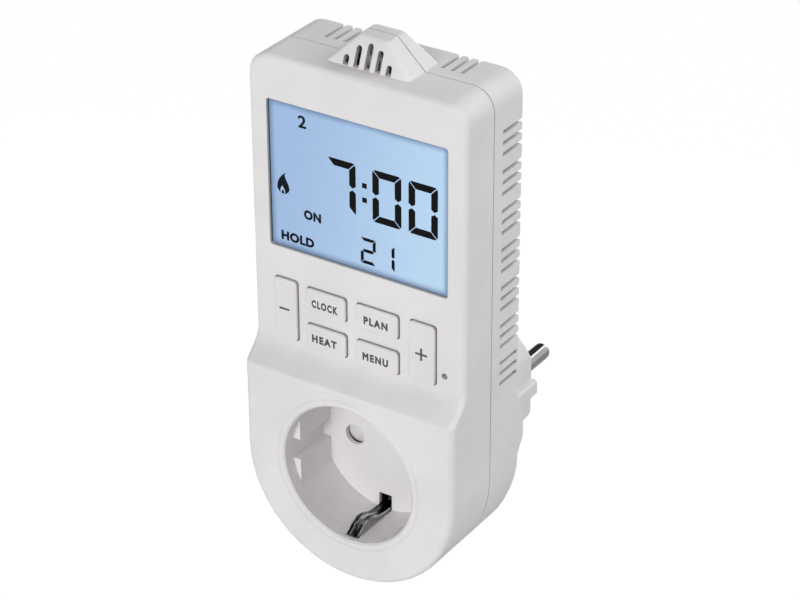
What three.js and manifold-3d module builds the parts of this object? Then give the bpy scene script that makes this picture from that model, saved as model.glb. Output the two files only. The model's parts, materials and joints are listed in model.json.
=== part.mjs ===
// Plug-in room thermostat: an earthed socket adapter with a display, six keys, a vented
// sensor hood on top, a front socket and a rear plug.
// Millimetres. X is to the right seen from the front, the front faces -Y, Z is up.
// The origin is the centre of the rear plug's end face.
import * as THREE from "three";
import { mergeVertices } from "three/addons/utils/BufferGeometryUtils.js";
import Module from "manifold-3d";

const wasm = await Module();
wasm.setup();

// ---------------------------------------------------------------- driving dimensions
const CASE_HALF = 31.75; // half width, and the radius of the round lower end
const CASE_TOP = 109.7;
const CASE_CORNER = 6; // radius of the two upper corners
const FRONT_ROUND = { upper: 1.3, lower: 1.8 }; // rounding of the front rim, above and below its ramp
const BACK_ROUND = { upper: 0.9, lower: 4.4 }; // the same for the back rim, with a ramp of its own
const WALL = 2;
const SPLIT_Y = -46; // plane in which the two covers meet
const SEAM = 0.15; // half the joint line
const DISPLAY_Y = -58.2; // front face around the display
const SOCKET_Y = -64; // front face around the socket
const BACK_UPPER_Y = -32.45;
const BACK_LOWER_Y = -29.1;
// The heights between which a face steps out. A ramp eases in over `start` and out over `end`,
// both as parts of its height, with `steps` chords along the first curve.
const FRONT_RAMP = { top: 29.5, bottom: 24.3, start: 0.5, end: 0.06, steps: 6 };
const BACK_RAMP = { top: 19.5, bottom: 10, start: 0.14, end: 0.14, steps: 2 };
const BACK_ROUND_RAMP = { top: 4.8, bottom: 0.3, start: 0.14, end: 0.14, steps: 2 };
const GAP = 0.3; // play between neighbouring pieces

const SOCKET = { radius: 19.7, edge: 0.5, depth: 17.5, ledge: 3.6, flat: 17.2, collar: 23.2 };
const SOCKET_RING = { radius: 21.8, proud: 0.25, slope: 0.45 }; // the low ring around the mouth
const SOCKET_GROOVE = 3; // half height of the guide groove in each flat
const CUP_WALL = 1.6;
const CUP_FIT = 0.05; // play of the cup in its collar
const FLOOR_Y = SOCKET_Y + SOCKET.depth;
const FLOOR_WALL = 1.2;
const CUP_BACK = FLOOR_Y + FLOOR_WALL;
const PIN = { spacing: 19, radius: 2.4, length: 19, hole: 2.9 };

const PLUG = { radius: 18.5, flat: 16.4, rib: 18.4, ribHalf: 2.3, bore: 14.6, endWall: 3.2 };
const EARTH_WIDTH = 3.4;

const HOOD = { halfX: 12.2, halfY: 6.9, topX: 4.3, topY: 3.9, height: 7.6, wall: 1.4, middleY: -46.4 };
const HOOD_SLOTS = { pitch: 3.08, width: 1.55, sill: 0.15, heights: [2.4, 5.1, 6.1, 5.1, 2.4] };

const VENT = { width: 1.1, pitch: 2.95, group: 10.75, groups: 7, perGroup: 3, top: 97, frontY: -41.9 };
const VENT_FLARE = { length: 1, widen: 0.5 }; // where a slot breaks out at the back
const TOP_VENTS = [14.2, 17, 19.8];

const WINDOW = { halfX: 26.5, low: 57.3, high: 98, recess: 0.7, corner: 0.9 };
const GLASS = { halfX: 28, low: 55.6, high: 99.9, front: -55.4, back: -52.6 };
const BOARD = { halfX: 28.9, low: 24.6, high: 100.2, front: -48.9, back: -47.3 };
const POWER = { halfX: 26.5, low: 27.5, high: 99.5, front: -37.6, back: -36 };

const KEY = { proud: 0.9, corner: 1, edge: 0.35, play: 0.15, flange: 0.8, stem: 1.6 };
// The key field sits left of centre, to leave room for the reset hole.
const KEYS = {
  minus: { x: [-25.1, -18.2], z: [31.4, 48.8] },
  clock: { x: [-15.3, -3.3], z: [41.6, 48.4] },
  program: { x: [-0.2, 12.4], z: [41.6, 48.4] },
  boost: { x: [-15.3, -3.3], z: [31.2, 38] },
  mode: { x: [-0.2, 12.4], z: [31.2, 38] },
  plus: { x: [15.7, 23.3], z: [31.8, 48.6] },
};
const RESET = { x: 25.7, z: 35.2, radius: 0.85 };
const SWITCH = { half: 3, front: -52.4, bore: 2, plunger: 1.7 };

const CASE_SCREWS = [
  [-25.9, 103.8],
  [25.9, 103.8],
  [-18.1, -18.1],
  [18.1, -18.1],
];
const BOARD_SCREWS = [
  [-27, 52.1],
  [27, 52.1],
  [-27, 27.4],
  [27, 27.4],
];

// ---------------------------------------------------------------- materials
const finish = (color, roughness, metalness = 0) =>
  new THREE.MeshStandardMaterial({ color, roughness, metalness });
const FINISH = {
  housing: finish(0xe2dfdc, 0.55),
  key: finish(0xdfdddb, 0.55),
  window: finish(0xeaf2f8, 0.08),
  lcd: finish(0x9fc2e6, 0.25),
  backlight: finish(0xf4f6f8, 0.5),
  dark: finish(0x2a2c2e, 0.6),
  insulator: finish(0xd8d2c4, 0.6),
  circuit: finish(0x1f6b3a, 0.5),
  steel: finish(0xb9bcbf, 0.3, 1),
  nickel: finish(0xc9c7c1, 0.22, 1),
  brass: finish(0xc8a552, 0.3, 1),
  relay: finish(0x2e5fa8, 0.5),
  yellow: finish(0xd9b23a, 0.5),
  battery: finish(0x3f7f4a, 0.4),
};

// ---------------------------------------------------------------- solid helpers
const range = (count) => Array.from({ length: count }, (_, i) => i);

function solid(geometry) {
  const bare = geometry.clone();
  bare.deleteAttribute("normal");
  bare.deleteAttribute("uv");
  const merged = mergeVertices(bare, 1e-4);
  const build = (triVerts) =>
    new wasm.Manifold(
      new wasm.Mesh({ numProp: 3, vertProperties: merged.attributes.position.array, triVerts }),
    );
  const made = build(new Uint32Array(merged.index.array));
  // A profile drawn clockwise gives a body that faces inwards, so its triangles are turned round.
  return made.volume() > 0 ? made : build(new Uint32Array(merged.index.array).reverse());
}

function box([x0, x1], [y0, y1], [z0, z1]) {
  const shape = new THREE.BoxGeometry(x1 - x0, y1 - y0, z1 - z0);
  return solid(shape.translate((x0 + x1) / 2, (y0 + y1) / 2, (z0 + z1) / 2));
}

// A round bar along Y; a second radius makes it a cone.
function rod(radius, [y0, y1], [x, z], sides = 24, backRadius = radius) {
  const shape = new THREE.CylinderGeometry(backRadius, radius, y1 - y0, sides);
  return solid(shape.translate(x, (y0 + y1) / 2, z));
}

// A shape drawn in X and Z, extruded along Y.
function alongY(shape, [y0, y1], curveSegments = 8) {
  const depth = y1 - y0;
  const bar = new THREE.ExtrudeGeometry(shape, { depth, bevelEnabled: false, curveSegments });
  return solid(bar.rotateX(Math.PI / 2).translate(0, y1, 0));
}

// A shape drawn in Y and Z, extruded along X.
function alongX(shape, [x0, x1], curveSegments = 8) {
  const bar = new THREE.ExtrudeGeometry(shape, { depth: x1 - x0, bevelEnabled: false, curveSegments });
  const turn = new THREE.Matrix4().makeBasis(
    new THREE.Vector3(0, 1, 0),
    new THREE.Vector3(0, 0, 1),
    new THREE.Vector3(1, 0, 0),
  );
  return solid(bar.applyMatrix4(turn).translate(x0, 0, 0));
}

// A shape drawn in Y and X, extruded along Z.
function alongZ(shape, [z0, z1], curveSegments = 8) {
  const bar = new THREE.ExtrudeGeometry(shape, { depth: z1 - z0, bevelEnabled: false, curveSegments });
  const turn = new THREE.Matrix4().makeBasis(
    new THREE.Vector3(0, 1, 0),
    new THREE.Vector3(1, 0, 0),
    new THREE.Vector3(0, 0, -1),
  );
  return solid(bar.applyMatrix4(turn).translate(0, 0, z1));
}

function roundedRect([x0, x1], [z0, z1], r) {
  const shape = new THREE.Shape();
  shape.moveTo(x0 + r, z0).lineTo(x1 - r, z0);
  shape.absarc(x1 - r, z0 + r, r, -Math.PI / 2, 0);
  shape.absarc(x1 - r, z1 - r, r, 0, Math.PI / 2);
  shape.absarc(x0 + r, z1 - r, r, Math.PI / 2, Math.PI);
  shape.absarc(x0 + r, z0 + r, r, Math.PI, 1.5 * Math.PI);
  return shape;
}

const join = (...bodies) => bodies.reduce((a, b) => a.add(b));
const cut = (body, ...tools) => tools.reduce((a, b) => a.subtract(b), body);

// A body through rings of equal length. Point i of a ring faces point n-1-i across it, so a
// ring closes with rungs between the two sides, also where it isn't flat.
function loft(rings) {
  const n = rings[0].length;
  const index = [];
  const quad = (a, b, c, d) => index.push(a, b, c, a, c, d);
  range(rings.length - 1).forEach((k) =>
    range(n).forEach((i) => {
      const j = (i + 1) % n;
      quad(k * n + i, k * n + j, (k + 1) * n + j, (k + 1) * n + i);
    }),
  );
  const last = (rings.length - 1) * n;
  range(n / 2 - 1).forEach((i) => {
    quad(n - 1 - i, n - 2 - i, i + 1, i);
    quad(last + i, last + i + 1, last + n - 2 - i, last + n - 1 - i);
  });
  const points = new Float32Array(rings.flat().flatMap((p) => [p.x, p.y, p.z]));
  const geometry = new THREE.BufferGeometry();
  geometry.setAttribute("position", new THREE.BufferAttribute(points, 3));
  return solid(geometry.setIndex(index));
}

// The outline of a plate with rounded corners at the depth y, as a ring for a loft.
function plateRing([x0, x1], [z0, z1], r, y) {
  const corner = (x, z, start) =>
    range(3).map((i) => {
      const a = start + (Math.PI / 4) * i;
      return new THREE.Vector3(x + r * Math.cos(a), y, z + r * Math.sin(a));
    });
  return [
    ...corner(x1 - r, z0 + r, -Math.PI / 2),
    ...corner(x1 - r, z1 - r, 0),
    ...corner(x0 + r, z1 - r, Math.PI / 2),
    ...corner(x0 + r, z0 + r, Math.PI),
  ];
}

// A bent strip of sheet metal: a centre line in Y and Z, its thickness, and its span along X.
function strip(line, thickness, spanX) {
  const points = line.map(([y, z]) => new THREE.Vector2(y, z));
  const side = (sign) =>
    points.map((p, i) => {
      const before = points[Math.max(i - 1, 0)];
      const after = points[Math.min(i + 1, points.length - 1)];
      const inward = p.clone().sub(before).normalize();
      const outward = after.clone().sub(p).normalize();
      const along = inward.add(outward).normalize();
      const flat = i === 0 || i === points.length - 1 ? along : p.clone().sub(before).normalize();
      const widen = 1 / Math.max(0.5, along.dot(flat));
      return p.clone().add(new THREE.Vector2(-along.y, along.x).multiplyScalar((sign * widen * thickness) / 2));
    });
  return alongX(new THREE.Shape([...side(1), ...side(-1).reverse()]), spanX);
}

// ---------------------------------------------------------------- case outline
// 0 above the ramp, 1 below it, with a parabola where it starts and one where it ends.
function rampShare({ top, bottom, start, end }, z) {
  const t = (top - z) / (top - bottom);
  if (t <= -start) return 0;
  if (t < start) return (t + start) ** 2 / (4 * start);
  if (t <= 1 - end) return t;
  return t < 1 + end ? 1 - (1 + end - t) ** 2 / (4 * end) : 1;
}
const between = (a, b, spec) => (z) => THREE.MathUtils.lerp(a, b, rampShare(spec, z));
const frontY = between(DISPLAY_Y, SOCKET_Y, FRONT_RAMP);
const backY = between(BACK_UPPER_Y, BACK_LOWER_Y, BACK_RAMP);
const frontRound = between(FRONT_ROUND.upper, FRONT_ROUND.lower, FRONT_RAMP);
const backRound = between(BACK_ROUND.upper, BACK_ROUND.lower, BACK_ROUND_RAMP);

function rampStations({ top, bottom, start, end, steps }) {
  const easeIn = range(steps + 1).map((i) => start * ((2 * i) / steps - 1));
  return [...easeIn, 1 - end, 1, 1 + end].map((t) => top - t * (top - bottom));
}
const STATIONS = [FRONT_RAMP, BACK_RAMP, BACK_ROUND_RAMP].flatMap(rampStations).filter((z) => z > 0);
const CORNER_STEPS = 6;
const ROUND_STEPS = 14;

// The case outline, inset by insetOf(z), with each point at the depth yOf(z).
function caseRing(insetOf, yOf) {
  const middle = CASE_HALF - CASE_CORNER;
  const corner = range(CORNER_STEPS + 1).map((i) => {
    const a = (Math.PI / 2) * (1 - i / CORNER_STEPS);
    const r = CASE_CORNER - insetOf(CASE_TOP);
    return [middle + r * Math.cos(a), CASE_TOP - CASE_CORNER + r * Math.sin(a)];
  });
  const sides = STATIONS.map((z) => [CASE_HALF - insetOf(z), z]);
  const round = range(ROUND_STEPS).map((i) => {
    const a = (Math.PI / 2) * (i / (ROUND_STEPS - 0.5));
    const r = CASE_HALF - insetOf(0);
    return [r * Math.cos(a), -r * Math.sin(a)];
  });
  const right = [...corner, ...sides, ...round];
  const point = (x, z) => new THREE.Vector3(x, yOf(z), z);
  return [...right.map(([x, z]) => point(x, z)), ...right.reverse().map(([x, z]) => point(-x, z))];
}
const outline = (inset, y) =>
  caseRing(
    () => inset,
    () => y,
  );

const quarter = (steps) => range(steps + 1).map((i) => (Math.PI / 2) * (i / steps));

// A half case: straight from the joint plane, then rounded over to its face. side is -1 in front.
function caseHalf(startY, faceY, roundOf, side) {
  const rings = quarter(side < 0 ? 4 : 3).map((a) =>
    caseRing(
      (z) => roundOf(z) * (1 - Math.cos(a)),
      (z) => faceY(z) - side * roundOf(z) * (1 - Math.sin(a)),
    ),
  );
  return loft([outline(0, startY), ...rings]);
}

function caseHollow(startY, faceY, side) {
  const end = caseRing(
    () => WALL,
    (z) => faceY(z) - side * WALL,
  );
  return loft([outline(WALL, startY), end]);
}

// ---------------------------------------------------------------- sensor hood
function hoodRing(halfX, halfY, r, z) {
  const corner = (cx, cy, start) =>
    range(4).map((i) => {
      const a = start + (Math.PI / 2) * (i / 3);
      return [cx + r * Math.cos(a), cy + r * Math.sin(a)];
    });
  const x = halfX - r;
  const y = halfY - r;
  const outline = [
    ...corner(x, -y, -Math.PI / 2),
    ...corner(x, y, 0),
    ...corner(-x, y, Math.PI / 2),
    ...corner(-x, -y, Math.PI),
  ];
  return outline.map(([px, py]) => new THREE.Vector3(px, HOOD.middleY + py, z));
}

// The hood is a blunt pyramid. A wall shrinks it square to its sloping sides.
function hoodBody(wall, bottom) {
  const slope = (half, top) => Math.hypot(half - top, HOOD.height) / HOOD.height;
  const at = (t) => [
    THREE.MathUtils.lerp(HOOD.halfX, HOOD.topX, t) - wall * slope(HOOD.halfX, HOOD.topX),
    THREE.MathUtils.lerp(HOOD.halfY, HOOD.topY, t) - wall * slope(HOOD.halfY, HOOD.topY),
  ];
  const crown = 1 - wall / HOOD.height;
  const soft = wall ? 0 : 0.5;
  const [shoulderX, shoulderY] = at(crown - soft / HOOD.height);
  const z = CASE_TOP + HOOD.height * crown;
  return loft([
    hoodRing(...at(0), 1.6, bottom),
    hoodRing(...at(0), 1.6, CASE_TOP),
    hoodRing(shoulderX, shoulderY, 1.2, z - soft),
    hoodRing(shoulderX - 1.4 * soft, shoulderY - 1.4 * soft, 0.9, z),
  ]);
}

function hoodSlots() {
  const middle = (HOOD_SLOTS.heights.length - 1) / 2;
  const half = HOOD_SLOTS.width / 2;
  return HOOD_SLOTS.heights.map((height, i) => {
    const x = (i - middle) * HOOD_SLOTS.pitch;
    const low = CASE_TOP + HOOD_SLOTS.sill;
    const slot = new THREE.Shape().moveTo(x - half, low).lineTo(x + half, low);
    slot.absarc(x, low + height - half, half, 0, Math.PI);
    return alongY(slot, [-56, HOOD.middleY - 1.6], 4);
  });
}

const before = (y) => box([-40, 40], [-80, y], [-40, 130]);
const behind = (y) => box([-40, 40], [y, 20], [-40, 130]);

// ---------------------------------------------------------------- front socket
function socketOutline(radius) {
  const edge = Math.acos(SOCKET.flat / radius);
  const lock = Math.asin(SOCKET_GROOVE / radius);
  const shape = new THREE.Shape();
  const half = (start) => {
    shape.absarc(0, 0, radius, start + edge, start + Math.PI - edge);
    const sign = Math.cos(start);
    shape.lineTo(-sign * SOCKET.flat, sign * SOCKET_GROOVE);
    shape.absarc(0, 0, radius, start + Math.PI - lock, start + Math.PI + lock);
    shape.lineTo(-sign * SOCKET.flat, -sign * SOCKET_GROOVE);
  };
  half(0);
  half(Math.PI);
  return shape;
}

const ring = (radius, span, backRadius) => rod(radius, span, [0, 0], 56, backRadius);

// The mouth in the front cover: its softened edge and the seat that takes the cup from behind.
function socketMouth() {
  const { radius, edge, ledge } = SOCKET;
  const front = SOCKET_Y - SOCKET_RING.proud;
  return join(
    ring(radius, [front - 1, SOCKET_Y + ledge + 0.1]),
    ring(radius + 2 * edge, [front - edge, front + edge], radius),
    ring(radius + CUP_WALL + CUP_FIT, [SOCKET_Y + ledge, SPLIT_Y + 2]),
    ...[-1, 1].map(clipGroove),
  );
}

// The low ring around the mouth and the collar that holds the cup.
function socketCollar() {
  const { radius, proud, slope } = SOCKET_RING;
  return join(
    ring(radius - slope, [SOCKET_Y - proud, SOCKET_Y + 0.01], radius),
    ring(SOCKET.collar, [SOCKET_Y + 1, SOCKET_Y + 7]),
  );
}

// The cup of the front socket, with its guide grooves, pin holes and the rails of the shutter.
function socketInsert() {
  const body = ring(SOCKET.radius + CUP_WALL, [SOCKET_Y + SOCKET.ledge + CUP_FIT, CUP_BACK]);
  const well = alongY(socketOutline(SOCKET.radius), [SOCKET_Y, FLOOR_Y], 10);
  const holes = [-1, 1].map((side) =>
    rod(PIN.hole, [FLOOR_Y - 1, CUP_BACK + 1], [(side * PIN.spacing) / 2, 0], 20),
  );
  const slots = [-1, 1].flatMap((side) => [clipGroove(side), clipSlot(side)]);
  return cut(join(body, shutterGuides()), well, ...holes, ...slots);
}

// The pocket of one earth clip: a groove in the socket wall, and a slot through the floor.
function clipPocket(side, depth, inner) {
  const half = EARTH_WIDTH / 2 + 0.25;
  const outer = SOCKET.radius + 0.7;
  return box([-half, half], depth, side > 0 ? [inner, outer] : [-outer, -inner]);
}
const clipGroove = (side) => clipPocket(side, [SOCKET_Y + 1.6, FLOOR_Y - 0.01], 15);
const clipSlot = (side) => clipPocket(side, [FLOOR_Y - 2, CUP_BACK + 1], 15.2);

function shutterGuides() {
  const depth = [CUP_BACK - 0.5, CUP_BACK + 2.9];
  const rails = [
    [-14.8, -13.6],
    [13.6, 14.8],
  ].map((span) => box(span, depth, [-5, 11.4]));
  return join(...rails, box([-3, 3], depth, [14.3, 15.6]));
}

// ---------------------------------------------------------------- covers
const POST_RADIUS = 1.9;
const boss = (radius, [y0, y1], at) => rod(radius, [y0, y1], at, 16);
const keySpan = ({ x, z }, grow) => [
  [x[0] - grow, x[1] + grow],
  [z[0] - grow, z[1] + grow],
];

function frontCover() {
  const split = SPLIT_Y - SEAM;
  const skin = join(
    caseHalf(split, frontY, frontRound, -1),
    hoodBody(0, CASE_TOP - 1).intersect(before(split)),
  );
  const screwPosts = CASE_SCREWS.map(([x, z]) => boss(3.1, [frontY(z) + 1, split], [x, z]));
  const boardPosts = BOARD_SCREWS.map(([x, z]) =>
    boss(POST_RADIUS, [frontY(z + POST_RADIUS) + 0.6, BOARD.front - GAP], [x, z]),
  );
  const body = join(
    cut(skin, caseHollow(split + 1, frontY, -1), hoodBody(HOOD.wall, CASE_TOP - 4)),
    socketCollar(),
    joiningLip(split),
    ...screwPosts,
    ...boardPosts,
  );
  const screwHoles = CASE_SCREWS.map(([x, z]) => rod(1.5, [split - 8, split + 1], [x, z], 12));
  const boardHoles = BOARD_SCREWS.map(([x, z]) => rod(1.2, [BOARD.front - 6, BOARD.front], [x, z], 12));
  const keyHoles = Object.values(KEYS).map((key) =>
    alongY(roundedRect(...keySpan(key, KEY.play), KEY.corner), [DISPLAY_Y - 3, DISPLAY_Y + 4], 2),
  );
  const resetHole = rod(RESET.radius, [DISPLAY_Y - 1, DISPLAY_Y + 3], [RESET.x, RESET.z], 16);
  return cut(
    body,
    socketMouth(),
    displayOpening(),
    resetHole,
    ...keyHoles,
    ...screwHoles,
    ...boardHoles,
    ...hoodSlots(),
  );
}

// A tongue along the joint of the front cover, which the rear cover's rebate closes over.
function joiningLip(split) {
  const outer = loft([outline(1.1, split - 2), outline(1.1, split + 1.2)]);
  const inner = loft([outline(WALL, split - 3), outline(WALL, split + 2)]);
  const hoodGap = box([-10.6, 10.6], [split - 4, split + 3], [CASE_TOP - 6, CASE_TOP + 1]);
  return cut(outer, inner, hoodGap);
}

function displayOpening() {
  const outline = roundedRect([-WINDOW.halfX, WINDOW.halfX], [WINDOW.low, WINDOW.high], WINDOW.corner);
  return alongY(outline, [DISPLAY_Y - 1, DISPLAY_Y + 4], 4);
}

// The plug's section: a round with a flat and a guide rib on either side.
function plugOutline(radius, flat, rib) {
  const edge = Math.acos(flat / radius);
  const shape = new THREE.Shape();
  const half = (start) => {
    const sign = Math.cos(start);
    shape.absarc(0, 0, radius, start + edge, start + Math.PI - edge);
    shape.lineTo(-sign * flat, sign * PLUG.ribHalf);
    shape.lineTo(-sign * (rib - 0.6), sign * PLUG.ribHalf);
    shape.lineTo(-sign * rib, sign * (PLUG.ribHalf - 0.6));
    shape.lineTo(-sign * rib, -sign * (PLUG.ribHalf - 0.6));
    shape.lineTo(-sign * (rib - 0.6), -sign * PLUG.ribHalf);
    shape.lineTo(-sign * flat, -sign * PLUG.ribHalf);
  };
  half(0);
  half(Math.PI);
  return shape;
}

function plugBody() {
  const { radius, flat, rib } = PLUG;
  const barrel = alongY(plugOutline(radius, flat, rib), [BACK_LOWER_Y - 1, 0], 14);
  const chamfer = rod(radius + 1.1, [-1.2, 0.01], [0, 0], 48, radius - 0.1);
  return join(
    barrel.intersect(behind(-1.2)).intersect(chamfer),
    barrel.intersect(before(-1.2)),
    rod(radius + 1, [BACK_LOWER_Y - 1, BACK_LOWER_Y + 1.2], [0, 0], 48),
  );
}

// Where one earth strip runs: under a bridge through the plug body, then in an open groove.
function plugStripPath(side) {
  const half = EARTH_WIDTH / 2 + 0.6;
  const span = (a, b) => (side > 0 ? [a, b] : [-b, -a]);
  return join(
    box([-half, half], [-40, -13], span(15.4, 17.4)),
    box([-half, half], [-14, 1], span(16.2, 20)),
  );
}

// One vent slot, drawn along the depth and across it. It widens where it breaks out behind.
function ventOutline(at, breaksOut) {
  const rear = BACK_UPPER_Y + (breaksOut ? 0.1 : -1.2);
  const half = VENT.width / 2;
  const wide = half + (breaksOut ? VENT_FLARE.widen : 0);
  const side = (sign) => [
    [VENT.frontY, at + sign * half],
    [rear - VENT_FLARE.length, at + sign * half],
    [rear, at + sign * wide],
  ];
  return new THREE.Shape([...side(-1), ...side(1).reverse()].map(([y, across]) => new THREE.Vector2(y, across)));
}

function sideVents() {
  const rows = range(VENT.groups).flatMap((g) =>
    range(VENT.perGroup).map((i) => ({ z: VENT.top - g * VENT.group - i * VENT.pitch, g })),
  );
  return rows.flatMap(({ z, g }) => {
    const slot = ventOutline(z, g < VENT.groups - 1);
    return [
      [CASE_HALF - WALL - 0.2, CASE_HALF + 1],
      [-CASE_HALF - 1, -CASE_HALF + WALL + 0.2],
    ].map((span) => alongX(slot, span));
  });
}

function topVents() {
  const span = [CASE_TOP - WALL - 0.2, CASE_TOP + 1];
  return TOP_VENTS.flatMap((x) => [x, -x]).map((x) => alongZ(ventOutline(x, true), span));
}

function rearCover() {
  const split = SPLIT_Y + SEAM;
  const skin = join(
    caseHalf(split, backY, backRound, 1),
    hoodBody(0, CASE_TOP - 1).intersect(behind(split)),
  );
  const posts = CASE_SCREWS.map(([x, z]) => boss(3.4, [split, backY(z) - 1], [x, z]));
  const rests = [-1, 1].flatMap((side) =>
    [40, 92].map((z) => boss(1.8, [POWER.back + GAP, BACK_UPPER_Y - 1], [side * 22, z])),
  );
  const body = join(
    cut(skin, caseHollow(split - 1, backY, 1), hoodBody(HOOD.wall, CASE_TOP - 4)),
    cut(plugBody(), rod(PLUG.bore, [-40, -PLUG.endWall], [0, 0], 40)),
    ...posts,
    ...rests,
  );
  const rebate = cut(
    loft([outline(0.8, split - 1), outline(0.8, split + 1.3)]),
    ...CASE_SCREWS.map(([x, z]) => boss(3.4, [split - 2, split + 2], [x, z])),
  );
  const bore = rod(PLUG.bore, [-40, BACK_LOWER_Y + 2], [0, 0], 40);
  const screwHoles = CASE_SCREWS.flatMap(([x, z]) => [
    rod(1.8, [split - 1, 0], [x, z], 12),
    rod(3, [backY(z) - 5, 0], [x, z], 16),
  ]);
  const pinHoles = [-1, 1].map((side) =>
    rod(PIN.radius + 0.25, [-PLUG.endWall - 2, 1], [(side * PIN.spacing) / 2, 0], 24),
  );
  return cut(
    body,
    rebate,
    bore,
    ...screwHoles,
    ...pinHoles,
    ...[-1, 1].map(plugStripPath),
    ...sideVents(),
    ...topVents(),
  );
}

// ---------------------------------------------------------------- display
function displayWindow() {
  const { halfX, low, high, recess, corner } = WINDOW;
  const front = DISPLAY_Y + recess;
  const back = GLASS.front - GAP;
  const play = 0.15;
  const pane = alongY(
    roundedRect([-halfX + play, halfX - play], [low + play, high - play], corner - play),
    [front, back],
    4,
  );
  const flange = box([-halfX - 1.4, halfX + 1.4], [DISPLAY_Y + WALL + 0.1, back], [low - 1.4, high + 1.4]);
  return join(pane, flange);
}

const lcdGlass = () => box([-GLASS.halfX, GLASS.halfX], [GLASS.front, GLASS.back], [GLASS.low, GLASS.high]);

function lcdBacklight() {
  const guide = box([-27, 27], [GLASS.back + GAP, BOARD.front - GAP], [60, GLASS.high - 0.4]);
  const led = box([-6, 6], [GLASS.back + 1, BOARD.front - GAP], [58.8, 60.2]);
  return join(guide, led);
}

function lcdFrame() {
  const depth = [GLASS.front + 0.2, BOARD.front - GAP];
  const outer = box([-29.2, 29.2], depth, [GLASS.low - 1.2, GLASS.high + 0.7]);
  const inner = box([-28.3, 28.3], [-60, -40], [GLASS.low - GAP, GLASS.high + GAP]);
  return cut(outer, inner);
}

const connectorStrip = () => box([-25, 25], [GLASS.back + 0.2, BOARD.front - 0.2], [56, 58.3]);

function displayBoard() {
  const plate = box([-BOARD.halfX, BOARD.halfX], [BOARD.front, BOARD.back], [BOARD.low, BOARD.high]);
  const holes = BOARD_SCREWS.map(([x, z]) => rod(1.35, [-60, -40], [x, z], 12));
  return cut(plate, ...holes);
}

// A flat chip with a row of legs on two sides, joined to its body.
function microcontroller() {
  const back = BOARD.back + 0.2;
  const body = box([-5, 5], [back + 0.2, back + 1.6], [66, 76]);
  const legs = [-1, 1].flatMap((side) =>
    range(8).map((i) => {
      const x = side > 0 ? [4.8, 6.4] : [-6.4, -4.8];
      return box(x, [back, back + 0.5], [66.8 + i * 1.15, 67.3 + i * 1.15]);
    }),
  );
  return join(body, ...legs);
}

// ---------------------------------------------------------------- keys and switches
// A cap with its front edge rounded over, a flange that keeps it in the cover, and a stem.
function key(name) {
  const spec = KEYS[name];
  const front = DISPLAY_Y - KEY.proud;
  const innerFace = DISPLAY_Y + WALL + 0.2;
  const edge = quarter(3).map((a) => {
    const inset = KEY.edge * (1 - Math.sin(a));
    return plateRing(...keySpan(spec, -inset), KEY.corner - inset, front + KEY.edge * (1 - Math.cos(a)));
  });
  const cap = loft([...edge, plateRing(...keySpan(spec, 0), KEY.corner, innerFace + 0.5)]);
  const [spanX, spanZ] = keySpan(spec, KEY.flange);
  const flange = box(spanX, [innerFace, innerFace + 1.2], spanZ);
  const stem = rod(KEY.stem, [innerFace, SWITCH.front - 1.1], keyCentre(name), 16);
  return join(cap, flange, stem);
}

function keyCentre(name) {
  const [x, z] = keySpan(KEYS[name], 0);
  return [(x[0] + x[1]) / 2, (z[0] + z[1]) / 2];
}

function switchBody([x, z]) {
  const { half, front, bore } = SWITCH;
  const body = box([x - half, x + half], [front, BOARD.front - 0.2], [z - half, z + half]);
  return cut(body, rod(bore, [front - 1, front + 2.2], [x, z], 16));
}

const switchPlunger = (at) => rod(SWITCH.plunger, [SWITCH.front - 0.9, SWITCH.front + 1.4], at, 16);

// ---------------------------------------------------------------- power side
function powerBoard() {
  const plate = box([-POWER.halfX, POWER.halfX], [POWER.front, POWER.back], [POWER.low, POWER.high]);
  return plate;
}

function onPowerBoard([x0, x1], height, [z0, z1]) {
  return box([x0, x1], [POWER.front - GAP - height, POWER.front - GAP], [z0, z1]);
}

function relay() {
  const body = onPowerBoard([-24, -8.5], 8.8, [34, 53]);
  const lid = box([-23.4, -9.1], [POWER.front - GAP - 9.1, POWER.front - GAP - 8], [34.6, 52.4]);
  return join(body, lid);
}

function filmCapacitor() {
  const z = [36, 43.5];
  const back = POWER.front - GAP;
  return alongX(roundedRect([back - 8.6, back], z, 1), [-4.5, 13.5], 3);
}

function smoothingCapacitor() {
  const profile = [
    [0, 0],
    [3.8, 0],
    [4, 0.3],
    [4, 1.6],
    [3.7, 2],
    [4, 2.4],
    [4, 11.7],
    [3.8, 12],
    [0, 12],
  ].map(([r, h]) => new THREE.Vector2(r, h));
  const can = new THREE.LatheGeometry(profile, 24);
  return solid(can.rotateX(Math.PI / 2).translate(19.5, POWER.front - GAP - 4.2, 36));
}

function fuse() {
  const y = POWER.front - GAP - 3;
  const tube = (radius, length) =>
    new THREE.CylinderGeometry(radius, radius, length, 20).rotateZ(Math.PI / 2);
  const caps = [-1, 1].map((side) => solid(tube(2.6, 5).translate(side * 7.5, y, 57)));
  return join(solid(tube(2.3, 19).translate(0, y, 57)), ...caps);
}

function varistor() {
  const disc = rod(3.6, [POWER.front - GAP - 6, POWER.front - GAP - 2.2], [20, 55], 24);
  const legs = [18.4, 21.6].map((x) => rod(0.5, [POWER.front - GAP - 3, POWER.front - GAP], [x, 55], 8));
  return join(disc, ...legs);
}

function backupBattery() {
  const back = POWER.front - GAP - 0.8;
  const profile = [
    [0, 0],
    [7, 0],
    [7.6, 0.5],
    [7.6, 4.6],
    [6.2, 5.4],
    [6.2, 6],
    [0, 6],
  ].map(([r, h]) => new THREE.Vector2(r, h));
  const cell = solid(new THREE.LatheGeometry(profile, 28).rotateX(Math.PI).translate(-14, back, 72));
  const tab = box([-16, -12], [back - 0.5, back + 0.8], [62.5, 68]);
  return join(cell, tab);
}

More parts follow.
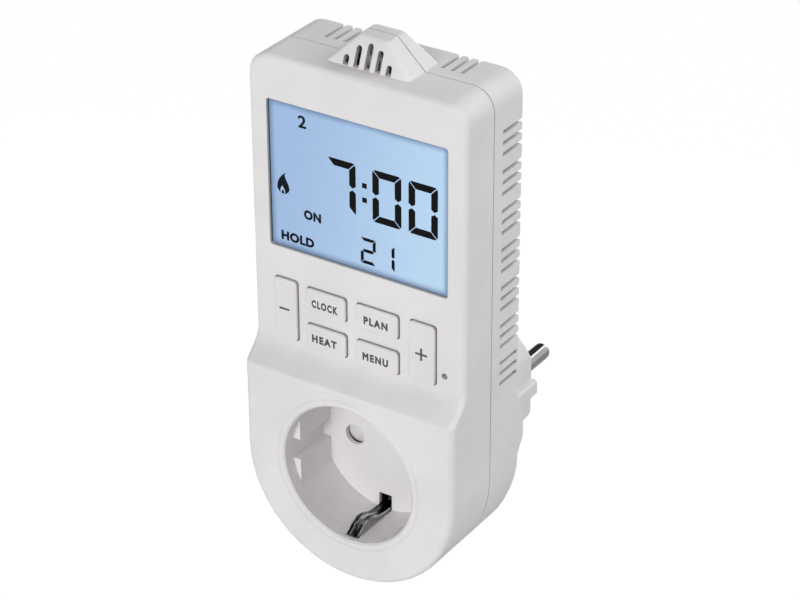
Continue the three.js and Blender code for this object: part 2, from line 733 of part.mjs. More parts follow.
function boardHeader() {
  const strip = box([-10, 10], [-42.6, POWER.front - GAP], [88, 90.5]);
  const pins = range(8).map((i) => {
    const x = -8.9 + i * 2.54;
    return box([x - 0.32, x + 0.32], [BOARD.back + GAP, -42], [88.9, 89.6]);
  });
  return join(strip, ...pins);
}

// ---------------------------------------------------------------- temperature sensor
function sensorHolder() {
  const stalk = box([-3.2, 3.2], [-48.1, -46.9], [101, 111.4]);
  return cut(stalk, box([-0.6, 0.6], [-49, -46], [108.6, 112]));
}

function temperatureSensor() {
  const bead = new THREE.SphereGeometry(1.35, 16, 10).scale(1, 1, 1.35).translate(0, -46.3, 113.2);
  const legs = [-1, 1].map((side) =>
    box([side * 0.75 - 0.25, side * 0.75 + 0.25], [-46.55, -46.05], [103, 112.6]),
  );
  return join(solid(bead), ...legs);
}

// ---------------------------------------------------------------- socket inner parts
const SHUTTER_BACK = CUP_BACK + GAP + 2.7;
const CARRIER = [SHUTTER_BACK + GAP, SHUTTER_BACK + GAP + 2.2];
const SHUTTER_LOW = -3.4;
const SHUTTER_HIGH = 4.2;

// The shutter covers both pin holes. A pin pushes on the ramp in front of it and slides it up.
function shutter() {
  const front = SHUTTER_BACK - 2.7;
  const plate = box([-13.2, 13.2], [front, SHUTTER_BACK], [SHUTTER_LOW, SHUTTER_HIGH]);
  const wedge = new THREE.Shape();
  wedge.moveTo(front - 0.1, SHUTTER_LOW - 0.1);
  wedge.lineTo(front + 1, SHUTTER_LOW - 0.1);
  wedge.lineTo(front - 0.1, 1.6);
  const ramps = [
    [-14, -5.9],
    [5.9, 14],
  ].map((span) => alongX(wedge, span));
  const seat = rod(2.1, [front + 0.6, SHUTTER_BACK - 0.6], [0, 0], 8);
  const notch = box([-2.2, 2.2], [front - 1, SHUTTER_BACK + 1], [3.2, 5]);
  return cut(plate, ...ramps, notch).add(seat.intersect(plate));
}

const SPRING = { low: 3.5, high: 14, turns: 6, radius: 1.25, wire: 0.25 };

function shutterSpring() {
  class Coil extends THREE.Curve {
    getPoint(t, target = new THREE.Vector3()) {
      const a = 2 * Math.PI * SPRING.turns * t;
      const rise = SPRING.high - SPRING.low - 2 * SPRING.wire;
      const z = SPRING.low + SPRING.wire + rise * t;
      return target.set(SPRING.radius * Math.cos(a), SPRING.radius * Math.sin(a), z);
    }
  }
  const wire = new THREE.Shape().absarc(0, 0, SPRING.wire, 0, 2 * Math.PI);
  const coil = new THREE.ExtrudeGeometry(wire, {
    steps: SPRING.turns * 9,
    curveSegments: 3,
    extrudePath: new Coil(),
  });
  return solid(coil.translate(0, (SHUTTER_BACK + CUP_BACK + GAP) / 2, 0));
}

function contactCarrier() {
  const plate = alongY(roundedRect([-16, 16], [-12.5, 14], 2), CARRIER, 3);
  const holes = [-1, 1].map((side) =>
    rod(3.1, [CARRIER[0] - 1, CARRIER[1] + 1], [(side * PIN.spacing) / 2, 0], 20),
  );
  return cut(plate, ...holes);
}

// Two leaves that grip an appliance pin, narrow in the middle and flared at the mouth.
function gripLine(mouthY, baseY) {
  const leaf = [
    [mouthY, 3.4],
    [mouthY + 1.6, 2.75],
    [mouthY + 4, 2.6],
    [mouthY + 6.5, 2.9],
    [baseY - 0.6, 2.9],
    [baseY, 2.2],
  ];
  return [...leaf, ...leaf.map(([y, z]) => [y, -z]).reverse()];
}
const GRIP_MOUTH = CARRIER[1] + GAP;
const GRIP_BASE = -26.6;
const gripSpan = (side) => [(side * PIN.spacing) / 2 - 2, (side * PIN.spacing) / 2 + 2];

function neutralContact() {
  const tail = [
    [GRIP_BASE - 0.2, 0],
    [-7.6, 0],
  ];
  return join(
    strip(gripLine(GRIP_MOUTH + 0.5, GRIP_BASE), 0.7, gripSpan(1)),
    strip(tail, 0.7, gripSpan(1)),
  );
}

function lineContact() {
  const line = gripLine(GRIP_MOUTH + 0.5, GRIP_BASE).slice(1);
  const riser = [
    [GRIP_MOUTH + 0.4, 31.5],
    [GRIP_MOUTH + 0.4, 4.2],
  ];
  return strip([...riser, ...line], 0.7, gripSpan(-1));
}

// The live strip from its plug pin to the power board's lower edge.
function lineTerminal() {
  const boardY = (POWER.front + POWER.back) / 2;
  const line = [
    [-7.7, -2.2],
    [-7.7, 8],
    [boardY, 8],
    [boardY, POWER.low - GAP],
  ];
  return strip(line, 0.7, gripSpan(-1));
}

// One earth strip: the sprung clip in the socket, the run through the case, and the plug's contact.
function earthStrip(side) {
  const line = [
    [SOCKET_Y + 1.9, 19.6],
    [SOCKET_Y + 3, 18.9],
    [SOCKET_Y + 4.8, 17.5],
    [SOCKET_Y + 6.6, 16.8],
    [SOCKET_Y + 8.8, 17.1],
    [SOCKET_Y + 11.5, 18.3],
    [FLOOR_Y - 2.5, 18.9],
    [CUP_BACK + 1.5, 18.9],
    [CUP_BACK + 4, 16.4],
    [-16, 16.4],
    [-12.6, 16.9],
    [-10.6, 17.9],
    [-4, 17.9],
    [-1.6, 17],
  ];
  return strip(
    line.map(([y, z]) => [y, side * z]),
    0.7,
    [-EARTH_WIDTH / 2, EARTH_WIDTH / 2],
  );
}

// The bent bar that ties the two earth strips together, around the contacts.
function earthLink() {
  const arc = new THREE.Shape();
  const inner = 15.5;
  arc.moveTo(0, inner);
  arc.absarc(0, 0, inner, Math.PI / 2, -Math.PI / 2, true);
  arc.lineTo(0, -inner - 0.01);
  arc.absarc(0, 0, inner - 0.9, -Math.PI / 2, Math.PI / 2, false);
  return alongY(arc, [-37.4, -34.4], 12);
}

function plugPin(side) {
  const { radius, length } = PIN;
  const tip = range(7).map((i) => {
    const a = (Math.PI / 2) * (i / 6);
    return [radius * Math.cos(a), length - 2 + 2 * Math.sin(a)];
  });
  const profile = [[0, -7], [3.3, -7], [3.3, -3.5], [radius, -3.5], ...tip.slice(0, -1), [0, length]];
  const turned = new THREE.LatheGeometry(
    profile.map(([r, y]) => new THREE.Vector2(r, y)),
    24,
  );
  return solid(turned.translate((side * PIN.spacing) / 2, 0, 0));
}

// ---------------------------------------------------------------- fasteners
// A pan-head screw that is driven from the back, its head seat at headY.
function screw([x, z], headY, length, shaft, head) {
  const cap = rod(head, [headY, headY + 1.8], [x, z], 20, head * 0.8);
  const thread = rod(shaft, [headY - length, headY + 0.5], [x, z], 12);
  const drive = [0, Math.PI / 2].map((turn) => {
    const bar = new THREE.BoxGeometry(head * 1.2, 2, 0.5).rotateY(turn);
    return solid(bar.translate(x, headY + 2, z));
  });
  return cut(join(cap, thread), ...drive);
}

const caseScrew = ([x, z]) => screw([x, z], backY(z) - 4.7, 12, 1.3, 2.6);
const boardScrew = (at) => screw(at, BOARD.back + 0.2, 5.5, 1, 1.9);

// ---------------------------------------------------------------- assembly
const product = new THREE.Group();

function place(name, body, material) {
  const { numProp, vertProperties, triVerts } = body.getMesh();
  const points = new Float32Array((vertProperties.length / numProp) * 3);
  range(points.length / 3).forEach((i) =>
    points.set(vertProperties.subarray(i * numProp, i * numProp + 3), i * 3),
  );
  const geometry = new THREE.BufferGeometry();
  geometry.setAttribute("position", new THREE.BufferAttribute(points, 3));
  geometry.setIndex(new THREE.BufferAttribute(triVerts, 1));
  geometry.computeVertexNormals();
  const mesh = new THREE.Mesh(geometry, material.clone());
  mesh.name = name;
  product.add(mesh);
}

place("front_cover", frontCover(), FINISH.housing);
place("rear_cover", rearCover(), FINISH.housing);
place("socket_insert", socketInsert(), FINISH.housing);
place("display_window", displayWindow(), FINISH.window);
place("lcd_glass", lcdGlass(), FINISH.lcd);
place("lcd_backlight", lcdBacklight(), FINISH.backlight);
place("lcd_frame", lcdFrame(), FINISH.dark);
place("lcd_connector_strip", connectorStrip(), FINISH.dark);
place("display_board", displayBoard(), FINISH.circuit);
place("microcontroller", microcontroller(), FINISH.dark);

Object.keys(KEYS).forEach((name) => {
  place(`${name}_key`, key(name), FINISH.key);
  place(`${name}_switch`, switchBody(keyCentre(name)), FINISH.dark);
  place(`${name}_switch_plunger`, switchPlunger(keyCentre(name)), FINISH.insulator);
});
place("reset_switch", switchBody([RESET.x, RESET.z]), FINISH.dark);
place("reset_switch_plunger", switchPlunger([RESET.x, RESET.z]), FINISH.insulator);

place("power_board", powerBoard(), FINISH.circuit);
place("board_header", boardHeader(), FINISH.dark);
place("relay", relay(), FINISH.relay);
place("film_capacitor", filmCapacitor(), FINISH.yellow);
place("smoothing_capacitor", smoothingCapacitor(), FINISH.dark);
place("fuse", fuse(), FINISH.steel);
place("varistor", varistor(), FINISH.relay);
place("backup_battery", backupBattery(), FINISH.battery);
place("sensor_holder", sensorHolder(), FINISH.insulator);
place("temperature_sensor", temperatureSensor(), FINISH.dark);

place("shutter", shutter(), FINISH.housing);
place("shutter_spring", shutterSpring(), FINISH.steel);
place("contact_carrier", contactCarrier(), FINISH.insulator);
place("line_contact", lineContact(), FINISH.brass);
place("neutral_contact", neutralContact(), FINISH.brass);
place("line_terminal", lineTerminal(), FINISH.brass);
place("earth_strip_top", earthStrip(1), FINISH.steel);
place("earth_strip_bottom", earthStrip(-1), FINISH.steel);
place("earth_link", earthLink(), FINISH.brass);
place("line_pin", plugPin(-1), FINISH.nickel);
place("neutral_pin", plugPin(1), FINISH.nickel);

CASE_SCREWS.forEach((at, i) => place(`case_screw_${i + 1}`, caseScrew(at), FINISH.steel));
BOARD_SCREWS.forEach((at, i) => place(`board_screw_${i + 1}`, boardScrew(at), FINISH.steel));

export default product;
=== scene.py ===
"""Looks of the plug-in room thermostat: materials, display content, key legends, light and camera.

The part's frame has X to the right, Y from the front to the rear and Z up, with its origin in the middle
of the plug's end face. Blender works in metres, and values in millimetres are multiplied by MM.
"""

import json
import math

import bpy
from mathutils import Matrix, Vector
from mathutils.geometry import interpolate_bezier


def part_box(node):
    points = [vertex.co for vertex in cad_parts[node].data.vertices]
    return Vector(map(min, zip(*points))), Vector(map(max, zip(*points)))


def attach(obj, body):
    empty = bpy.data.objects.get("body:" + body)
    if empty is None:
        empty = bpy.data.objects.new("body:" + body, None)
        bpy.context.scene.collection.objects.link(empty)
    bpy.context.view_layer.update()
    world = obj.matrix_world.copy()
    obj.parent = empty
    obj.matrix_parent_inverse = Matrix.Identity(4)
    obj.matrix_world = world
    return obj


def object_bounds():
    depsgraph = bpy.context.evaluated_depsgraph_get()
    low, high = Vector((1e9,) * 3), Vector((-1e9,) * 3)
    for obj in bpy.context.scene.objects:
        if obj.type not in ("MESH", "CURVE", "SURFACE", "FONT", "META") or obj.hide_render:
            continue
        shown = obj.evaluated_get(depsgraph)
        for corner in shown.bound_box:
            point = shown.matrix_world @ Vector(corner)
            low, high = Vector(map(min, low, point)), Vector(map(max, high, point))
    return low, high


MM = 0.001
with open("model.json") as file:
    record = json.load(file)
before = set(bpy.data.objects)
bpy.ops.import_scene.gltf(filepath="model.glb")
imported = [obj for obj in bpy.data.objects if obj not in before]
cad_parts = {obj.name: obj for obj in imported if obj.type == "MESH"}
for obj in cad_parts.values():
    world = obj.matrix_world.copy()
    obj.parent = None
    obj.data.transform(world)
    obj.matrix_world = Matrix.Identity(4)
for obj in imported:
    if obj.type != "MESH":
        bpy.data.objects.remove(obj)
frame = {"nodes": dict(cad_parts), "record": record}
CAD_BOX = [list(corner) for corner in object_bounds()]
BODY_OF_CASE = "case"

# ------------------------------------------------------------------ camera
AIM = Vector((4.3, -45.6, 44.4)) * MM
DISTANCE = 698 * MM
AZIMUTH = math.radians(33.47)
ELEVATION = math.radians(29.44)
ROLL = math.radians(0.29)
SENSOR_WIDTH = 36  # mm
FOCAL_LENGTH = 124.4  # mm


def add_camera():
    right = Vector((math.cos(AZIMUTH), math.sin(AZIMUTH), 0))
    ahead = Vector((math.sin(AZIMUTH), -math.cos(AZIMUTH), 0))
    back = ahead * math.cos(ELEVATION) + Vector((0, 0, math.sin(ELEVATION)))
    up = back.cross(right)
    rolled_right = right * math.cos(ROLL) - up * math.sin(ROLL)
    rolled_up = right * math.sin(ROLL) + up * math.cos(ROLL)
    place = AIM + back * DISTANCE
    columns = [(*rolled_right, 0), (*rolled_up, 0), (*back, 0), (*place, 1)]
    data = bpy.data.cameras.new("camera")
    data.sensor_width = SENSOR_WIDTH
    data.lens = FOCAL_LENGTH
    camera = bpy.data.objects.new("camera", data)
    camera.matrix_world = Matrix(columns).transposed()
    bpy.context.scene.collection.objects.link(camera)
    bpy.context.scene.camera = camera


# ------------------------------------------------------------------ colours
def linear(red, green, blue):
    """An sRGB colour of 0 to 255 as the linear colour that a shader takes."""
    parts = [c / 255 for c in (red, green, blue)]
    return (*[p / 12.92 if p <= 0.04045 else ((p + 0.055) / 1.055) ** 2.4 for p in parts], 1)


def shifted(color, factor):
    """A lighter or darker tone of a linear colour."""
    return (*[min(1.0, c * factor) for c in color[:3]], 1)


# ------------------------------------------------------------------ node helpers
class Nodes:
    """Short ways to add and link nodes in one node tree."""

    def __init__(self, tree):
        self.tree = tree

    def node(self, kind, **settings):
        made = self.tree.nodes.new(kind)
        for key, value in settings.items():
            setattr(made, key, value)
        return made

    def link(self, source, target):
        self.tree.links.new(source, target)

    def feed(self, socket, value):
        """Links a socket to another node's output, or sets it to a number or a colour."""
        if isinstance(value, bpy.types.NodeSocket):
            self.link(value, socket)
        else:
            socket.default_value = value

    def split(self, vector):
        made = self.node("ShaderNodeSeparateXYZ")
        self.link(vector, made.inputs[0])
        return [made.outputs[axis] for axis in "XYZ"]

    def math(self, operation, *values):
        made = self.node("ShaderNodeMath", operation=operation)
        for socket, value in zip(made.inputs, values):
            self.feed(socket, value)
        return made.outputs[0]

    def span(self, value, low, high, to_low=0.0, to_high=1.0, smooth=False):
        """A value that goes from low to high as one that goes from to_low to to_high, held at both ends."""
        made = self.node("ShaderNodeMapRange", interpolation_type="SMOOTHSTEP" if smooth else "LINEAR")
        for key, number in zip(("From Min", "From Max", "To Min", "To Max"), (low, high, to_low, to_high)):
            made.inputs[key].default_value = number
        self.link(value, made.inputs["Value"])
        return made.outputs["Result"]

    def blend(self, factor, a, b):
        """Colour a where the factor is 0 and colour b where it is 1."""
        made = self.node("ShaderNodeMix", data_type="RGBA")
        color_sockets = [socket for socket in made.inputs if socket.type == "RGBA"]
        self.link(factor, made.inputs["Factor"])
        for socket, value in zip(color_sockets, (a, b)):
            self.feed(socket, value)
        return next(socket for socket in made.outputs if socket.type == "RGBA")

    def level(self, factor, a, b):
        """Number a where the factor is 0 and number b where it is 1."""
        made = self.node("ShaderNodeMix")
        for key, value in (("Factor", factor), ("A", a), ("B", b)):
            self.feed(made.inputs[key], value)
        return made.outputs["Result"]

    def layer(self, factor, a, b):
        """Shader a where the factor is 0 and shader b where it is 1."""
        made = self.node("ShaderNodeMixShader")
        for socket, source in zip(made.inputs, (factor, a, b)):
            self.link(source, socket)
        return made.outputs[0]


class Shader(Nodes):
    """A material with its principled shader; place is the surface point in the part's frame, in metres."""

    def __init__(self, name):
        self.material = bpy.data.materials.new(name)
        self.material.use_nodes = True
        super().__init__(self.material.node_tree)
        self.principled = self.tree.nodes["Principled BSDF"]
        self.output = self.tree.nodes["Material Output"]
        self.place = self.node("ShaderNodeTexCoord").outputs["Object"]

    def turned(self, **settings):
        """The surface point after a scale or a rotation."""
        mapping = self.node("ShaderNodeMapping")
        for key, value in settings.items():
            mapping.inputs[key].default_value = value
        self.link(self.place, mapping.inputs["Vector"])
        return mapping.outputs["Vector"]

    def noise(self, scale, detail=2.0, stretch=None):
        texture = self.node("ShaderNodeTexNoise")
        texture.inputs["Scale"].default_value = scale
        texture.inputs["Detail"].default_value = detail
        place = self.turned(Scale=stretch) if stretch else self.place
        self.link(place, texture.inputs["Vector"])
        return texture.outputs["Fac"]

    def bump(self, height, strength, distance, normal=None):
        made = self.node("ShaderNodeBump")
        made.inputs["Strength"].default_value = strength
        made.inputs["Distance"].default_value = distance
        self.link(height, made.inputs["Height"])
        if normal:
            self.link(normal, made.inputs["Normal"])
        return made.outputs["Normal"]

    def soft_edges(self, radius):
        made = self.node("ShaderNodeBevel", samples=6)
        made.inputs["Radius"].default_value = radius
        return made.outputs["Normal"]

    def set(self, **values):
        for key, value in values.items():
            self.feed(self.principled.inputs[key.replace("_", " ")], value)

    def current(self, key):
        """What is linked to an input of the principled shader so far."""
        return self.principled.inputs[key].links[0].from_socket


# ------------------------------------------------------------------ plastics
SPLIT_Y = -46  # mm, the plane in which the two covers meet
RING_RADIUS = 22.0  # mm, outer radius of the low ring around the socket
HOUSING_COLOR = linear(226, 223.5, 223.7)


def moulded(name, color, roughness=0.5, edge=0.25, variation=0.03, grain=0.05):
    """Injection-moulded plastic: a fine eroded grain, faint flow marks and softened edges."""
    s = Shader(name)
    flow = s.span(s.noise(55, detail=3), 0.35, 0.65)
    s.set(Base_Color=s.blend(flow, shifted(color, 1 - variation), shifted(color, 1 + variation)))
    s.set(Roughness=s.span(s.noise(420, detail=3), 0.3, 0.7, roughness - 0.05, roughness + 0.05))
    s.set(Normal=s.bump(s.noise(5200, detail=2), grain, 0.03 * MM, s.soft_edges(edge * MM)))
    s.set(Specular_IOR_Level=0.35)
    return s


def vented_plastic():
    """The housing's plastic with painted shade: darker deep inside the vents, except near their open rear
    ends.
    """
    s = moulded("vented_housing_plastic", HOUSING_COLOR, roughness=0.46)
    # Painted shade: an ambient-occlusion probe darkens the base colour in the vents' depths.
    sky = s.node("ShaderNodeAmbientOcclusion", samples=8)
    sky.inputs["Distance"].default_value = 4 * MM
    _, y, _ = s.split(s.place)
    at_joint = s.span(y, (SPLIT_Y + 0.6) * MM, (SPLIT_Y + 1.4) * MM, 1.0, 0.0)
    at_rear = s.span(y, (SPLIT_Y + 9) * MM, (SPLIT_Y + 16) * MM, 0.0, 0.7)
    free_of_painted_shade = s.span(sky.outputs["AO"], 0.08, 0.55, smooth=True)
    free_of_painted_shade = s.math("MAXIMUM", free_of_painted_shade, s.math("MAXIMUM", at_joint, at_rear))
    s.set(Base_Color=s.blend(free_of_painted_shade, shifted(HOUSING_COLOR, 0.5), s.current("Base Color")))
    return s


def front_plastic():
    """The housing's plastic with the crisp outer step of the low ring around the socket."""
    s = moulded("front_housing_plastic", HOUSING_COLOR, roughness=0.46)
    x, _, z = s.split(s.place)
    radius = s.math("SQRT", s.math("ADD", s.math("MULTIPLY", x, x), s.math("MULTIPLY", z, z)))
    step = s.span(radius, (RING_RADIUS - 0.6) * MM, RING_RADIUS * MM, 1.0, 0.0)
    s.set(Normal=s.bump(step, 1.0, 0.2 * MM, s.current("Normal")))
    return s


def key_plastic(color):
    """The keys' plastic, with painted shade on the side faces, darker towards the gap around each key."""
    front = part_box("minus_key")[0].y
    s = moulded("key_plastic", color, roughness=0.44)
    _, y, _ = s.split(s.place)
    # Painted shade: the side faces darken from the key's front towards the gap and the cover.
    painted_gap_shade = s.span(y, front + 0.1 * MM, front + 0.7 * MM, smooth=True)
    s.set(Base_Color=s.blend(painted_gap_shade, s.current("Base Color"), shifted(color, 0.58)))
    return s


def clear_case(name, color, roughness):
    """Glassy component body with a faint haze."""
    s = Shader(name)
    haze = s.span(s.noise(400), 0.3, 0.7)
    s.set(Base_Color=s.blend(haze, shifted(color, 0.92), shifted(color, 1.05)))
    s.set(Roughness=roughness, Coat_Weight=0.6, Coat_Roughness=0.08)
    return s


# ------------------------------------------------------------------ metals
STREAK = 0.12  # how far the roughness varies along drawing marks


def plated(name, color, roughness, stretch):
    """Plated or polished metal with fine drawing marks along one direction."""
    s = Shader(name)
    marks = s.noise(900, detail=4, stretch=stretch)
    cloud = s.span(s.noise(160), 0.3, 0.7)
    smoothest = max(0.03, roughness - STREAK / 2)
    s.set(Base_Color=s.blend(cloud, shifted(color, 0.9), shifted(color, 1.04)), Metallic=1.0)
    s.set(Roughness=s.span(marks, 0.3, 0.7, smoothest, roughness + STREAK))
    s.set(Normal=s.bump(marks, 0.08, 0.02 * MM, s.soft_edges(0.15 * MM)))
    return s


def sprung_steel():
    """Dark polished spring strip with two embossed lines darkened by painted shade, and painted highlight
    streaks along its length.
    """
    s = Shader("sprung_steel")
    x, _, _ = s.split(s.place)
    from_line = s.math("ABSOLUTE", s.math("SUBTRACT", s.math("ABSOLUTE", x), 0.6 * MM))
    # Painted shade: the embossed lines are coloured near black, besides their real bump.
    groove_and_painted_shade = s.span(from_line, 0.06 * MM, 0.2 * MM, smooth=True)
    # Painted highlights: bright streaks along the strip's length in its base colour.
    painted_highlight_streaks = s.span(s.noise(1300, detail=3, stretch=(1, 0.1, 0.1)), 0.46, 0.58, smooth=True)
    steel = s.blend(painted_highlight_streaks, linear(52, 52, 54), linear(206, 207, 210))
    s.set(Base_Color=s.blend(groove_and_painted_shade, linear(18, 18, 19), steel), Metallic=1.0)
    s.set(Roughness=s.span(s.noise(700), 0.3, 0.7, 0.08, 0.2))
    s.set(Normal=s.bump(groove_and_painted_shade, 0.5, 0.08 * MM, s.soft_edges(0.12 * MM)))
    return s


# ------------------------------------------------------------------ circuit board and display
WINDOW_REBATE = 1.4  # mm of the window behind each side of the cover's opening


def circuit_board():
    """Green solder mask with copper tracks showing through and lighter patches."""
    s = Shader("solder_mask")
    bricks = s.node("ShaderNodeTexBrick", offset=0.5, squash=1.6)
    for key, value in (("Scale", 260), ("Mortar Size", 0.12), ("Mortar Smooth", 0.2)):
        bricks.inputs[key].default_value = value
    s.link(s.turned(Rotation=(math.pi / 2, 0, 0)), bricks.inputs["Vector"])
    tracks = bricks.outputs["Fac"]
    base = s.blend(tracks, linear(22, 92, 48), linear(34, 118, 62))
    patches = s.span(s.noise(240, detail=1), 0.6, 0.64)
    s.set(Base_Color=s.blend(patches, base, linear(28, 104, 55)))
    s.set(Roughness=s.span(s.noise(700), 0.3, 0.7, 0.28, 0.42))
    s.set(Normal=s.bump(tracks, 0.15, 0.04 * MM), Coat_Weight=0.4, Coat_Roughness=0.2)
    return s


def panel_blue(s, x, z):
    """The lit panel's blue, which gets lighter from the upper left to the lower right."""
    low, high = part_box("display_window")
    across = s.math("SUBTRACT", x, s.math("MULTIPLY", z, 0.25))
    tone = s.span(across, low.x - 20 * MM, high.x - 12 * MM, smooth=True)
    return s.blend(tone, linear(157, 185, 222), linear(186, 215, 241))


def display_panel():
    """Lit pale blue panel with painted shade towards its edges, and a thin dark line along them."""
    s = Shader("display_panel")
    x, _, z = s.split(s.place)
    low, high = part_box("display_window")
    left = s.math("SUBTRACT", x, low.x + WINDOW_REBATE * MM)
    right = s.math("SUBTRACT", high.x - WINDOW_REBATE * MM, x)
    under = s.math("SUBTRACT", z, low.z + WINDOW_REBATE * MM)
    over = s.math("SUBTRACT", high.z - WINDOW_REBATE * MM, z)
    uneven = s.math("MULTIPLY", s.noise(90, detail=1), 0.5 * MM)

    # Painted shade: the blue turns darker within about 2.6 mm of the opening's edges.
    def shade(one_edge, other_edge):
        distance = s.math("ADD", s.math("MINIMUM", one_edge, other_edge), uneven)
        return s.span(distance, 0.2 * MM, 2.6 * MM, smooth=True)

    lit = s.math("MULTIPLY", shade(left, right), shade(under, over))
    shaded = s.blend(lit, linear(112, 136, 168), panel_blue(s, x, z))
    far_line = s.span(s.math("MINIMUM", right, under), 0.22 * MM, 0.4 * MM, smooth=True)
    near_line = s.span(s.math("MINIMUM", left, over), 0.34 * MM, 0.46 * MM, smooth=True)
    color = s.blend(near_line, linear(26, 34, 44), s.blend(far_line, linear(84, 98, 116), shaded))
    s.set(Base_Color=color, Emission_Color=color, Emission_Strength=0.05)
    s.set(Roughness=s.span(s.noise(300), 0.3, 0.7, 0.24, 0.32), Specular_IOR_Level=0.25)
    return s


def ink(name, color, roughness):
    """Printed mark or display segment, slightly uneven in tone."""
    s = Shader(name)
    s.set(Base_Color=s.blend(s.noise(1500), shifted(color, 0.85), shifted(color, 1.15)))
    s.set(Roughness=roughness, Specular_IOR_Level=0.05)
    return s


# ------------------------------------------------------------------ which material goes where
HOUSING = moulded("housing_plastic", HOUSING_COLOR, roughness=0.46)
FRONT = front_plastic()
VENTED = vented_plastic()
KEYCAP = key_plastic(linear(224, 221.5, 221.7))
SHUTTER = moulded("shutter_plastic", linear(220, 219, 217), roughness=0.4)
HOLDER = moulded("sensor_holder_plastic", linear(205, 205, 203))
DARK = moulded("dark_plastic", linear(38, 39, 42), variation=0.1)
CREAM = moulded("insulator_plastic", linear(214, 206, 188))
DIFFUSER = moulded("light_guide", linear(236, 240, 244), roughness=0.35)
RUBBER = moulded("contact_rubber", linear(70, 70, 74), roughness=0.7, variation=0.2, grain=0.2)
BLUE = moulded("blue_component", linear(44, 84, 150), roughness=0.38, variation=0.06)
YELLOW = moulded("yellow_component", linear(214, 176, 60), roughness=0.38, variation=0.05)
SLEEVE = moulded("dark_sleeve", linear(30, 33, 44), roughness=0.3, variation=0.1)
NICKEL = plated("nickel_plate", linear(184, 184, 186), 0.12, stretch=(1, 0.06, 1))
BRASS = plated("brass_strip", linear(208, 170, 96), 0.24, stretch=(1, 0.1, 1))
ZINC = plated("zinc_plate", linear(188, 190, 194), 0.3, stretch=(0.2, 1, 0.2))
CELL = plated("cell_steel", linear(196, 197, 199), 0.28, stretch=(1, 1, 0.1))
SPRING = sprung_steel()
BOARD = circuit_board()
PANEL = display_panel()
GLASS = clear_case("panel_glass", linear(150, 182, 216), 0.1)
TUBE = clear_case("fuse_tube", linear(206, 212, 212), 0.15)
SEGMENTS = ink("display_segments", linear(20, 19, 21), 0.4)
SYMBOLS = ink("display_symbols", linear(18, 27, 38), 0.4)
PALE_INK = ink("pale_ink", linear(176, 200, 226), 0.4)
LEGENDS = ink("legend_ink", linear(88, 88, 90), 0.6)

SHADER_OF_SLOT = {
    "housing": HOUSING,
    "keycap": KEYCAP,
    "window": PANEL,
    "lcd": GLASS,
    "backlight": DIFFUSER,
    "dark_plastic": DARK,
    "connector_rubber": RUBBER,
    "circuit_board": BOARD,
    "insulator": CREAM,
    "relay_case": BLUE,
    "capacitor_film": YELLOW,
    "capacitor_sleeve": SLEEVE,
    "fuse_glass": TUBE,
    "cell_sleeve": CELL,
    "brass": BRASS,
    "spring_steel": SPRING,
    "nickel": NICKEL,
    "zinc_steel": ZINC,
}

SHADER_OF_NODE = {"front_cover": FRONT, "rear_cover": VENTED, "shutter": SHUTTER, "sensor_holder": HOLDER}


# ------------------------------------------------------------------ CAD nodes
CREASE_ANGLE = math.radians(33)
WELD_DISTANCE = 0.002 * MM
FACE_WEIGHT = 80


def smoothing_group():
    """Welds a mesh and shades it smooth, with a crease wherever two faces meet at an angle."""
    group = bpy.data.node_groups.new("crease_by_angle", "GeometryNodeTree")
    for side in ("INPUT", "OUTPUT"):
        group.interface.new_socket("Geometry", in_out=side, socket_type="NodeSocketGeometry")
    g = Nodes(group)
    weld = g.node("GeometryNodeMergeByDistance")
    weld.inputs["Distance"].default_value = WELD_DISTANCE
    faces = g.node("GeometryNodeSetShadeSmooth")
    edges = g.node("GeometryNodeSetShadeSmooth", domain="EDGE")
    edges.inputs["Shade Smooth"].default_value = False
    angle = g.node("GeometryNodeInputMeshEdgeAngle")
    sharp = g.node("FunctionNodeCompare", operation="GREATER_THAN")
    sharp.inputs[1].default_value = CREASE_ANGLE
    g.link(g.node("NodeGroupInput").outputs[0], weld.inputs["Geometry"])
    g.link(weld.outputs["Geometry"], faces.inputs["Geometry"])
    g.link(faces.outputs["Geometry"], edges.inputs["Geometry"])
    g.link(angle.outputs["Unsigned Angle"], sharp.inputs[0])
    g.link(sharp.outputs[0], edges.inputs["Selection"])
    g.link(edges.outputs["Geometry"], g.node("NodeGroupOutput").inputs[0])
    return group


SMOOTHING = smoothing_group()


def soften(piece):
    piece.modifiers.new("creases", "NODES").node_group = SMOOTHING
    normals = piece.modifiers.new("face_weighted_normals", "WEIGHTED_NORMAL")
    normals.keep_sharp = True
    normals.weight = FACE_WEIGHT


def dress_nodes():
    slots = {part["node"]: part["material_slot"] for part in frame["record"]["subparts"]}
    for name, node in frame["nodes"].items():
        shader = SHADER_OF_NODE.get(name) or SHADER_OF_SLOT[slots[name]]
        node.data.materials.clear()
        node.data.materials.append(shader.material)
        soften(node)


def add_piece(name, points, faces, shader, body, slot):
    """A mesh with its points in metres, which rides on a body of the part."""
    mesh = bpy.data.meshes.new(name)
    mesh.from_pydata(points, [], faces)
    mesh.materials.append(shader.material)
    piece = bpy.data.objects.new(name, mesh)
    bpy.context.scene.collection.objects.link(piece)
    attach(piece, body)
    return piece


# ------------------------------------------------------------------ root of the plug
PLUG_BASE_RADIUS = 19.5  # mm
PLUG_BASE_FRONT = -30.1  # mm, where the plug's round base starts
SKIRT_WALL = 1.8  # mm
SKIRT_ARC = (37.5, 142.5)  # degrees from X towards Z
SKIRT_SECTIONS = 15
SEATED = 0.5  # mm that the skirt reaches into the back
BACK_SLOPE = ((10.0, -29.1), (19.5, -32.45))  # Z and Y in mm of both ends of the slope above the plug


def back_surface(z):
    (low, low_y), (high, high_y) = BACK_SLOPE
    share = min(max((z - low) / (high - low), 0), 1)
    return low_y + (high_y - low_y) * share


